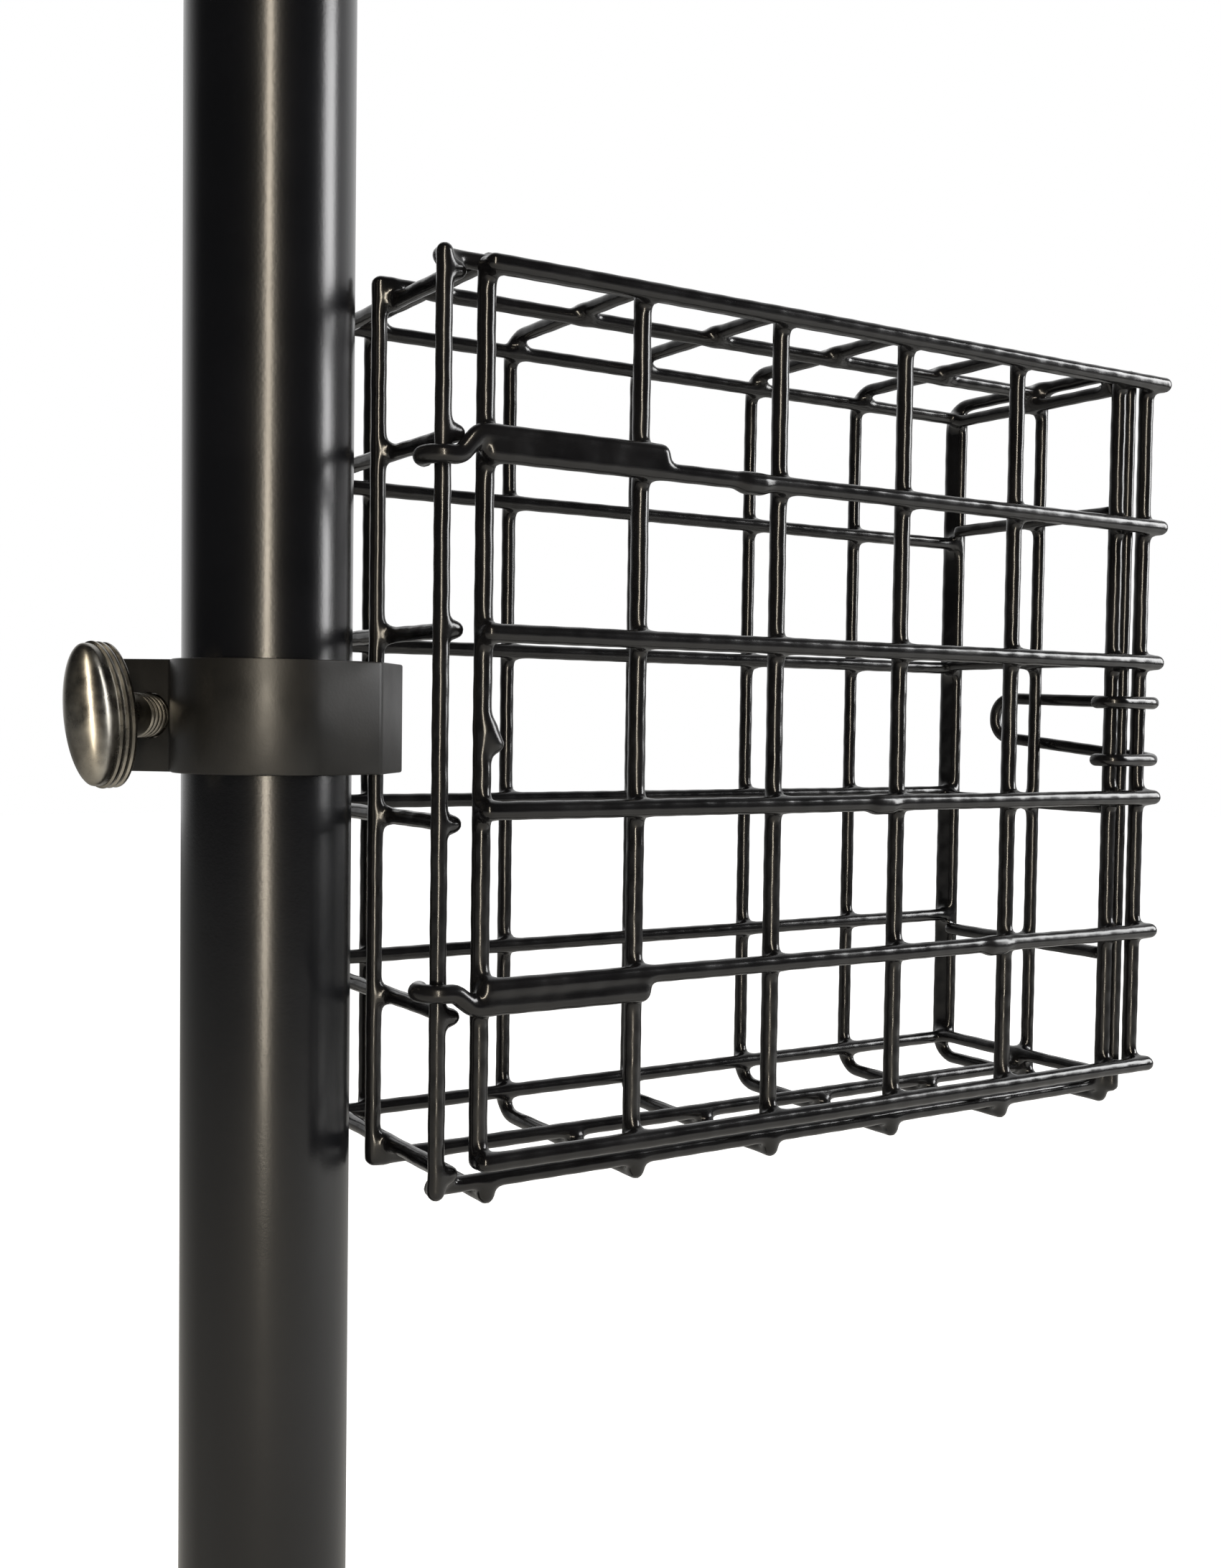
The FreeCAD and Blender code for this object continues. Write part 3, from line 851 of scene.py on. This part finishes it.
@dataclass
class ThumbScrew:
    """The thumb screw: an oval domed grip with ridges round its rim, on a threaded shank."""

    screw_x: float = -16.175
    head_y: float = -15.5
    tip_y: float = 9.0
    shoulder: float = 5.0
    radius: float = 3.175
    root: float = 2.6
    pitch: float = 1.27
    half_height: float = 9.5
    half_width: float = 3.4
    rim: float = 7.0
    dome: float = 2.8
    ridge: float = 0.35
    ridge_pitch: float = 1.9
    grip_turn_deg: float = 5.4
    facets: int = 96

    def build(self, finishes: Finishes, home: StrapFrame) -> None:
        """Makes and dresses the screw."""
        profile = [(-0.9, 0.0), (-0.45, 0.05), (-0.12, 0.3)]
        for number in range(3):
            start = 0.45 + number * self.ridge_pitch
            profile += [
                (0.0, start - 0.1), (self.ridge * 0.85, start + 0.12), (self.ridge, start + 0.45),
                (self.ridge * 0.85, start + 0.78), (0.0, start + 1.0),
            ]
        profile += [(-0.05, self.rim - 0.1)]
        rings = [self._oval(grow, out, home) for grow, out in profile]
        for step in range(1, 15):
            turn = math.pi / 2 * step / 15
            rings.append(self._dome_ring(turn, home))
        grip = lofted("thumb_screw_grip", rings, 40)
        dress(grip, finishes.zinc, "thumb_screw_body", ["thumb_screw"])
        shank = self._shank(home)
        dress(shank, finishes.zinc, "thumb_screw_body", ["thumb_screw"])

    def _oval(self, grow: float, out: float, home: StrapFrame) -> Array:
        """Gives an oval ring of the grip, some way outside its outline and along its axis."""
        return self._ring(self.half_width + grow, self.half_height + grow, out, home)

    def _dome_ring(self, turn: float, home: StrapFrame) -> Array:
        """Gives a ring of the grip's dome, at an angle from its rim to its crown."""
        share = math.cos(turn)
        across, along = (self.half_width - 0.05) * share, (self.half_height - 0.05) * share
        return self._ring(across, along, self.rim + self.dome * math.sin(turn), home)

    def _ring(self, across: float, along: float, out: float, home: StrapFrame) -> Array:
        """Gives an oval ring, turned with the grip, at some way out along the screw's axis."""
        around = np.arange(self.facets) * 2 * math.pi / self.facets
        lean = math.radians(self.grip_turn_deg)
        x, z = -across * np.cos(around), along * np.sin(around)
        spots = np.stack([
            self.screw_x + x * math.cos(lean) - z * math.sin(lean),
            np.full(self.facets, self.head_y - out),
            x * math.sin(lean) + z * math.cos(lean),
        ], 1)
        return home.to_row(spots)

    def _shank(self, home: StrapFrame) -> Any:
        """Makes the shank: a plain shoulder, then a rolled thread to a pointed tip.

        Args:
            home: the strap's frame.

        Returns:
            The new object.
        """
        count = 40
        turn = np.arange(count) * 2 * math.pi / count
        rings = []
        start, finish = self.head_y - 0.5, self.tip_y
        steps = int((finish - start) / 0.1)
        for row in range(steps + 1):
            y = start + (finish - start) * row / steps
            depth = y - self.head_y
            wave = 0.5 + 0.5 * np.cos(turn - 2 * math.pi * y / self.pitch)
            fade = min(max((depth - self.shoulder) / 0.6, 0), 1)
            radius = self.radius - (self.radius - self.root) * fade * (1 - wave ** 0.8)
            taper = min(1.0, 0.72 + 0.28 * (finish - y) / 1.0)
            rings.append(home.to_row(np.stack([
                self.screw_x + radius * taper * np.cos(turn), np.full(count, y),
                -radius * taper * np.sin(turn),
            ], 1)))
        return lofted("thumb_screw_shank", rings, 60)


# ---------------------------------------------------------------- stage, light and camera
@dataclass(frozen=True)
class SoftBox:
    """A rectangular lamp aimed at the feeder, with sizes in metres."""

    name: str
    place: Point
    aim: Point
    size: tuple[float, float]
    power: float
    colour: str = "#ffffff"

    def build(self) -> None:
        """Makes the lamp."""
        data = bpy.data.lights.new(self.name, "AREA")
        data.shape = "RECTANGLE"
        data.size, data.size_y = self.size
        data.energy = self.power
        data.color = linear(self.colour)[:3]
        lamp = bpy.data.objects.new(self.name, data)
        bpy.context.scene.collection.objects.link(lamp)
        way = Vector(self.aim) - Vector(self.place)
        lamp.matrix_world = Matrix.Translation(self.place) @ way.to_track_quat("-Z", "Y").to_matrix().to_4x4()


@dataclass
class Studio:
    """A white surround that is brightest behind the feeder, a pale floor, and soft lamps."""

    floor_size: float = 6.0
    glow_way: tuple[float, float] = (0.54, 0.84)
    glow_starts: float = 0.05
    glow_full: float = 0.85
    glow_least: float = 0.04
    lamps: tuple[SoftBox, ...] = (
        SoftBox("key_softbox", (-0.30, -0.75, 0.62), (0.0, 0.0, 0.62), (0.05, 1.2), 9.0, "#fff2dc"),
        SoftBox("side_softbox", (0.75, -0.35, 0.45), (0.06, 0.0, 0.2), (0.25, 0.5), 5.0, "#ffffff"),
    )

    def build(self) -> None:
        """Makes the surround, the floor and the lamps."""
        self._world()
        self._floor()
        for lamp in self.lamps:
            lamp.build()

    def _world(self) -> None:
        """Makes the surround: white to the camera, and dimmer on the side that the door faces."""
        world = bpy.data.worlds.new("surround")
        bpy.context.scene.world = world
        world.use_nodes = True
        tree = world.node_tree
        tree.nodes.clear()
        way = add_node(tree, "ShaderNodeTexCoord").outputs["Generated"]
        split = add_node(tree, "ShaderNodeSeparateXYZ", {"Vector": way})
        depth = add_node(
            tree, "ShaderNodeMath", {0: split.outputs["Y"], 1: self.glow_way[1]}, operation="MULTIPLY"
        ).outputs[0]
        facing = add_node(
            tree, "ShaderNodeMath", {0: split.outputs["X"], 1: self.glow_way[0], 2: depth},
            operation="MULTIPLY_ADD",
        ).outputs[0]
        glow = add_node(
            tree, "ShaderNodeMapRange",
            {"Value": facing, "From Min": self.glow_starts, "From Max": self.glow_full,
             "To Min": self.glow_least, "To Max": 1.0},
            interpolation_type="SMOOTHSTEP",
        ).outputs["Result"]
        seen = add_node(tree, "ShaderNodeLightPath").outputs["Is Camera Ray"]
        strength = add_node(tree, "ShaderNodeMath", {0: glow, 1: seen}, operation="MAXIMUM").outputs[0]
        shade = add_node(
            tree, "ShaderNodeBackground", {"Color": (1, 1, 1, 1), "Strength": strength}
        ).outputs["Background"]
        add_node(tree, "ShaderNodeOutputWorld", {"Surface": shade})

    def _floor(self) -> None:
        """Makes the floor, white to the camera apart from the feeder's soft shadow."""
        half = self.floor_size / 2
        mesh = bpy.data.meshes.new("floor")
        corners = [(-half, -half, 0), (half, -half, 0), (half, half, 0), (-half, half, 0)]
        mesh.from_pydata(corners, [], [(0, 1, 2, 3)])
        floor = bpy.data.objects.new("floor", mesh)
        bpy.context.scene.collection.objects.link(floor)
        material = bpy.data.materials.new("pale_matt_floor")
        material.use_nodes = True
        tree = material.node_tree
        tree.nodes.clear()
        plain = add_node(tree, "ShaderNodeBsdfDiffuse", {"Color": linear("#e4e4e2")}).outputs[0]
        white = add_node(tree, "ShaderNodeEmission", {"Color": (1, 1, 1, 1), "Strength": 0.9}).outputs[0]
        lit = add_node(tree, "ShaderNodeAddShader", {0: plain, 1: white}).outputs[0]
        seen = add_node(tree, "ShaderNodeLightPath").outputs["Is Camera Ray"]
        shader = add_node(tree, "ShaderNodeMixShader", {0: seen, 1: plain, 2: lit}).outputs[0]
        add_node(tree, "ShaderNodeOutputMaterial", {"Surface": shader})
        mesh.materials.append(material)


@dataclass(frozen=True)
class Viewpoint:
    """The camera: its place in millimetres, its turn in degrees, and its lens."""

    place: Point = (-83.8, -223.85, 200.08)
    yaw_deg: float = 32.449
    pitch_deg: float = 2.287
    roll_deg: float = 0.80
    lens: float = 47.99
    sensor: float = 36.0

    def build(self) -> None:
        """Makes the camera and gives it to the scene."""
        yaw, pitch, roll = (math.radians(a) for a in (self.yaw_deg, self.pitch_deg, self.roll_deg))
        level = Matrix(((math.cos(yaw), -math.sin(yaw), 0), (0, 0, -1), (math.sin(yaw), math.cos(yaw), 0)))
        nod = Matrix((
            (1, 0, 0), (0, math.cos(pitch), -math.sin(pitch)), (0, math.sin(pitch), math.cos(pitch)),
        ))
        tilt = Matrix(((math.cos(roll), -math.sin(roll), 0), (math.sin(roll), math.cos(roll), 0), (0, 0, 1)))
        right, down, ahead = tilt @ nod @ level
        turn = Matrix((right, -down, -ahead)).transposed()
        data = bpy.data.cameras.new("camera")
        data.lens, data.sensor_width, data.sensor_fit = self.lens, self.sensor, "HORIZONTAL"
        data.clip_start = 0.005
        camera = bpy.data.objects.new("camera", data)
        bpy.context.scene.collection.objects.link(camera)
        camera.matrix_world = Matrix.Translation(Vector(self.place) * MM) @ turn.to_4x4()
        bpy.context.scene.camera = camera


def main() -> None:
    """Builds every sub-assembly, the studio and the camera."""
    logging.basicConfig(level=logging.INFO, format="%(name)s: %(message)s")
    finishes = Finishes()
    home = StrapFrame()
    PoleSection().build(finishes)
    CageBody().build(finishes)
    Door().build(finishes)
    LatchClip().build(finishes)
    ClampStrap().build(finishes, home)
    ThumbScrew().build(finishes, home)
    Studio().build()
    Viewpoint().build()
    bpy.context.scene.view_settings.view_transform = "Standard"


if __name__ == "__main__":
    main()
